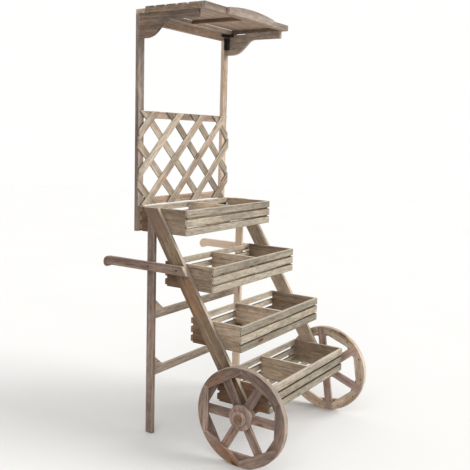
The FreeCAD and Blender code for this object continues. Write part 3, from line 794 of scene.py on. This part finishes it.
class TROLLEY_OT_side_frames(bpy.types.Operator):
    """Weather the stringers, legs, crossbars, gussets and handles"""

    bl_idname = "trolley.side_frames"
    bl_label = "Side frames"

    def execute(self, context):
        slope = stringer_slope()
        width = slope.cross(X)
        self.heartwood(dress_boards("stringer_left", "stringer", slope, width, bleach=0.4))
        dress_boards("leg_left", "leg", Z, Y)
        dress_boards("handle_left", "handle", Y, Z)
        dress_boards("stringer_right", "pale", slope, width, bleach=0.0)
        inner = timber().inner
        # Painted light on the inward faces of the right leg and handle.
        tone_faces(dress_boards("leg_right", "pale", Z, Y), -X, inner, 0.5)
        tone_faces(dress_boards("handle_right", "fresh", Y, Z), -X, inner, 0.7)
        for bar in ("crossbar_upper", "crossbar_lower"):
            dress_boards(bar, "bar", X, Z)
        dress_boards("gussets", "bar", X, Z, Z, 2)
        return {"FINISHED"}

    def heartwood(self, stringer):
        """Pinkish patch with a ragged lower end on the outer face, as high as the top box."""
        wiring, shader, position = stringer
        low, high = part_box("stringer_left")
        ragged = wiring.math("MULTIPLY", wiring.noise(position, 34.0, 3.0), BLUSH_RAGGED)
        level = wiring.math("SUBTRACT", wiring.vector("DOT_PRODUCT", position, Z), ragged)
        mask = near_edge(wiring, level, high.z, BLUSH, 0.55)
        outer = skin(wiring, position, low.x, *STRINGER_SKIN)
        over(wiring, shader, wiring.math("MULTIPLY", mask, outer), timber().blush)


class TROLLEY_OT_trellis(bpy.types.Operator):
    """Weather the posts, packers, rails and both layers of laths"""

    bl_idname = "trolley.trellis"
    bl_label = "Trellis"

    def execute(self, context):
        settings = timber()
        left = dress_boards("post_left", "post", Z, X)
        # Painted shade on the left post's outer (-X) face.
        tone_faces(left, -X, settings.painted_shade, 0.28, "MULTIPLY")
        right = dress_boards("post_right", "pale", Z, X)
        # Painted light on the right post's inward face.
        tone_faces(right, -X, settings.inner, 0.4)
        dress_boards("post_packers", "stringer", Z, X, X, 2)
        for rail in ("top", "bottom"):
            dress_boards("trellis_rail_" + rail, "rail", X, Z, stain_amount=0.5)
        for layer, sense in (("front", 1), ("back", -1)):
            grain = Vector((sense * LATH_RUN, 0, LATH_RISE)).normalized()
            width = Vector((-sense * LATH_RISE, 0, LATH_RUN)).normalized()
            dress_boards("laths_" + layer, "lath", grain, width, width,
                         first=LATH_CENTRE * width.z, pitch=LATH_RUN * abs(width.x),
                         stain_amount=0.45)
        return {"FINISHED"}


class TROLLEY_OT_canopy(bpy.types.Operator):
    """Weather the roof slats, battens, fascia, rear boards and corbels"""

    bl_idname = "trolley.canopy"
    bl_label = "Canopy"

    def execute(self, context):
        settings = timber()
        slats = dress_boards("roof_slats", "roof", X, Y, Y, ROOF_SLATS, ROOF_GAP)
        for way in (-X, X):
            tone_faces(slats, way, settings.end_grain, 0.6, "MULTIPLY")
        battens = dress_boards("roof_battens", "stringer", Y, X, X, 3, stain_amount=0.5)
        fascia = dress_boards("fascia", "roof", X, Y)
        # Painted light on the downward faces under the roof.
        for boards, amount in ((slats, 0.25), (battens, 0.4), (fascia, 0.25)):
            tone_faces(boards, -Z, settings.under, amount)
        dress_boards("roof_rear_board", "bar", X, Y)
        dress_boards("roof_rear_rail", "rail", X, Z)
        dress_boards("fascia_arch", "roof", X, Z, stain_amount=0.15)
        dress_boards("corbel_left", "corbel", Y, Z)
        dress_boards("corbel_right", "bar", Y, Z)
        return {"FINISHED"}


class TROLLEY_OT_wheels(bpy.types.Operator):
    """Weather both wheels, the axle and its collars"""

    bl_idname = "trolley.wheels"
    bl_label = "Wheels"

    def execute(self, context):
        half_step = math.pi / SEGMENTS
        for side in SIDES:
            start = RIGHT_WHEEL_TURN if side == "right" else 0.0
            rim, spoke = ("pale", "hub") if side == "right" else ("wheel", "wheel")
            dress_wheel_part("felloes_" + side, side, rim, "Rim", start)
            dress_wheel_part("rim_backing_" + side, side, rim, "Rim", start + half_step)
            dress_wheel_part("spokes_" + side, side, spoke, "Spoke", start)
            grain = Vector((0, math.cos(start + 1.2), math.sin(start + 1.2)))
            dress_boards("hub_" + side, "hub", grain, X.cross(grain), stain_amount=0.6,
                         bleach=0.0)
        dress_boards("axle", "axle", X, Y, bleach=0.0)
        dress_boards("axle_collars", "hub", Z, Y, X, 2, stain_amount=0.6, bleach=0.0)
        return {"FINISHED"}


# ---- hardware operators ----

class TROLLEY_OT_corner_irons(bpy.types.Operator):
    """Paint the four bent corner irons satin black"""

    bl_idname = "trolley.corner_irons"
    bl_label = "Corner irons"

    def execute(self, context):
        dress("corner_irons", metal_material("Black_iron", hardware().iron, 0.3, 0.42, 0.25))
        return {"FINISHED"}


class TROLLEY_OT_nails(bpy.types.Operator):
    """Model the rounded nail heads at the ends of the upright slats

    The posts' packers cover the back of the highest box, so it has none there.
    """

    bl_idname = "trolley.nails"
    bl_label = "Nails"

    def execute(self, context):
        places = []
        for tier in TIERS:
            for side, outwards, width in (("front", -1, FRONT_SLAT), ("back", 1, BACK_SLAT)):
                if side == "back" and tier == 1:
                    continue
                low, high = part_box("box_%d_%s_slats" % (tier, side))
                face = high.y if outwards > 0 else low.y
                for row in range(UPRIGHTS):
                    level = low.z + width / 2 + row * SLAT_ROW
                    places += [(Vector((x, face, level)), Y * outwards, row * 0.7)
                               for x in (low.x + NAIL_IN, high.x - NAIL_IN)]
        nails = copies(head_pattern("Nail", *NAIL_HEAD, 12, 0.0), "nail_heads", places)
        fit_hardware(nails, metal_material("Nail_steel", hardware().nail, 0.8, 0.45, 0.6),
                     "frame", "slat_nails")
        return {"FINISHED"}


class TROLLEY_OT_screws(bpy.types.Operator):
    """Model the screw heads of the handles, corner irons and wheel rims

    Each head is left at a turn of its own, taken from its place.
    """

    bl_idname = "trolley.screws"
    bl_label = "Screws"

    def execute(self, context):
        steel = metal_material("Screw_steel", hardware().screw, 0.7, 0.4, 0.5)
        self.handle_screws(steel)
        self.iron_screws(steel)
        self.rim_screws(steel)
        return {"FINISHED"}

    def handle_screws(self, steel):
        radius, height = HANDLE_HEAD
        places = []
        for centre in solid_centres("handle_screws"):
            way = X if centre.x > 0 else -X
            places.append((centre - way * height / 2, way, centre.y * 9))
        piece = copies(head_pattern("Screw", radius, height, 24, hardware().recess),
                       "handle_screw_heads", places)
        fit_hardware(piece, steel, "frame", "handle_screws")

    def iron_screws(self, steel):
        places = []
        for low, high in solid_boxes("iron_screws"):
            size = high - low
            centre = (low + high) / 2
            inwards = -X if centre.x > 0 else X
            way = inwards if size.x < size.y else -Y
            thickness = min(size.x, size.y)
            places.append((centre - way * thickness / 2, way, centre.z * 31))
        piece = copies(head_pattern("Screw", *IRON_HEAD, 20, hardware().recess),
                       "iron_screw_heads", places)
        fit_hardware(piece, steel, "frame", "iron_screws")

    def rim_screws(self, steel):
        radius, height = RIM_HEAD
        for side in SIDES:
            inward = X if side == "left" else -X
            places = [(centre - inward * height / 2, inward, centre.z * 17)
                      for centre in solid_centres("rim_screws_" + side)]
            piece = copies(head_pattern("Screw", radius, height, 20, hardware().recess),
                           "rim_screw_heads_" + side, places)
            fit_hardware(piece, steel, "wheel_" + side, "rim_screws_" + side)


# ---- stage ----

class TROLLEY_OT_stage(bpy.types.Operator):
    """Lay the pale floor, set the soft lights and place the camera"""

    bl_idname = "trolley.stage"
    bl_label = "Stage"

    def execute(self, context):
        settings = context.scene.trolley_stage
        self.floor(settings)
        self.lights(settings)
        self.camera(settings)
        return {"FINISHED"}

    def floor(self, settings):
        nothing_selected()
        bpy.ops.mesh.primitive_circle_add(vertices=96, radius=FLOOR_RADIUS, fill_type="NGON",
                                          location=(0, 0, 0))
        floor = bpy.context.object
        floor.name = "studio_floor"
        bpy.ops.object.mode_set(mode="EDIT")
        bpy.ops.mesh.select_all(action="SELECT")
        bpy.ops.mesh.inset(thickness=FLOOR_BORDER)
        bpy.ops.object.mode_set(mode="OBJECT")
        material, wiring, shader, position = new_material("Studio_floor")
        soft = wiring.noise(position, 1.3, 2.0)
        shade = tuple(0.97 * part for part in settings.floor)
        wiring.feed(shader.inputs["Base Color"], wiring.mix(soft, settings.floor, shade))
        shader.inputs["Roughness"].default_value = 0.85
        floor.data.materials.append(material)

    def lights(self, settings):
        for name, strength, towards in (("key", settings.key, KEY_WAY),
                                        ("fill", settings.fill, FILL_WAY)):
            light = bpy.data.lights.new(name, "SUN")
            light.energy = strength
            light.angle = settings.softness
            lamp = bpy.data.objects.new(name, light)
            lamp.rotation_euler = Vector(towards).to_track_quat("-Z", "Y").to_euler()
            bpy.context.scene.collection.objects.link(lamp)
        world = bpy.data.worlds.new("Studio")
        world.use_nodes = True
        world.node_tree.nodes.clear()
        wiring = Wiring(world.node_tree)
        seen = wiring.add("ShaderNodeBackground", Color=settings.backdrop, Strength=1.0)
        lit = wiring.add("ShaderNodeBackground", Color=(1.0, 0.99, 0.97), Strength=settings.room)
        path = wiring.add("ShaderNodeLightPath")
        blend = wiring.add("ShaderNodeMixShader", Fac=path.outputs["Is Camera Ray"])
        wiring.feed(blend.inputs[1], lit)
        wiring.feed(blend.inputs[2], seen)
        wiring.feed(wiring.add("ShaderNodeOutputWorld").inputs["Surface"], blend)
        bpy.context.scene.world = world
        bpy.context.scene.view_settings.view_transform = "Standard"

    def camera(self, settings):
        ahead = Vector((math.cos(settings.turn) * math.cos(settings.tilt),
                        math.sin(settings.turn) * math.cos(settings.tilt),
                        math.sin(settings.tilt)))
        level = ahead.cross(Z).normalized()
        up = level.cross(ahead)
        right = level * math.cos(settings.roll) + up * math.sin(settings.roll)
        top = up * math.cos(settings.roll) - level * math.sin(settings.roll)
        data = bpy.data.cameras.new("camera")
        data.lens = settings.lens
        data.sensor_width = SENSOR
        data.shift_x, data.shift_y = LENS_SHIFT
        data.clip_end = 60.0
        camera = bpy.data.objects.new("camera", data)
        turned = Matrix((right, top, -ahead)).transposed().to_4x4()
        camera.matrix_world = Matrix.Translation(settings.camera) @ turned
        bpy.context.scene.collection.objects.link(camera)
        bpy.context.scene.camera = camera


# ---- panel and registration ----

OPERATORS = (TROLLEY_OT_boxes, TROLLEY_OT_side_frames, TROLLEY_OT_trellis, TROLLEY_OT_canopy,
             TROLLEY_OT_wheels, TROLLEY_OT_corner_irons, TROLLEY_OT_nails, TROLLEY_OT_screws,
             TROLLEY_OT_stage)


class TROLLEY_PT_panel(bpy.types.Panel):
    """Lists the steps that dress the trolley"""

    bl_idname = "TROLLEY_PT_panel"
    bl_label = "Plant Trolley"
    bl_space_type = "VIEW_3D"
    bl_region_type = "UI"
    bl_category = "Trolley"

    def draw(self, context):
        for operator in OPERATORS:
            self.layout.operator(operator.bl_idname)


CLASSES = (TimberSettings, HardwareSettings, StageSettings, *OPERATORS, TROLLEY_PT_panel)


def register():
    for cls in CLASSES:
        bpy.utils.register_class(cls)
    bpy.types.Scene.trolley_timber = PointerProperty(type=TimberSettings)
    bpy.types.Scene.trolley_hardware = PointerProperty(type=HardwareSettings)
    bpy.types.Scene.trolley_stage = PointerProperty(type=StageSettings)


def unregister():
    for name in ("trolley_timber", "trolley_hardware", "trolley_stage"):
        delattr(bpy.types.Scene, name)
    for cls in reversed(CLASSES):
        bpy.utils.unregister_class(cls)


def main():
    register()
    bpy.ops.trolley.boxes()
    bpy.ops.trolley.side_frames()
    bpy.ops.trolley.trellis()
    bpy.ops.trolley.canopy()
    bpy.ops.trolley.wheels()
    bpy.ops.trolley.corner_irons()
    bpy.ops.trolley.nails()
    bpy.ops.trolley.screws()
    bpy.ops.trolley.stage()


if __name__ == "__main__":
    main()
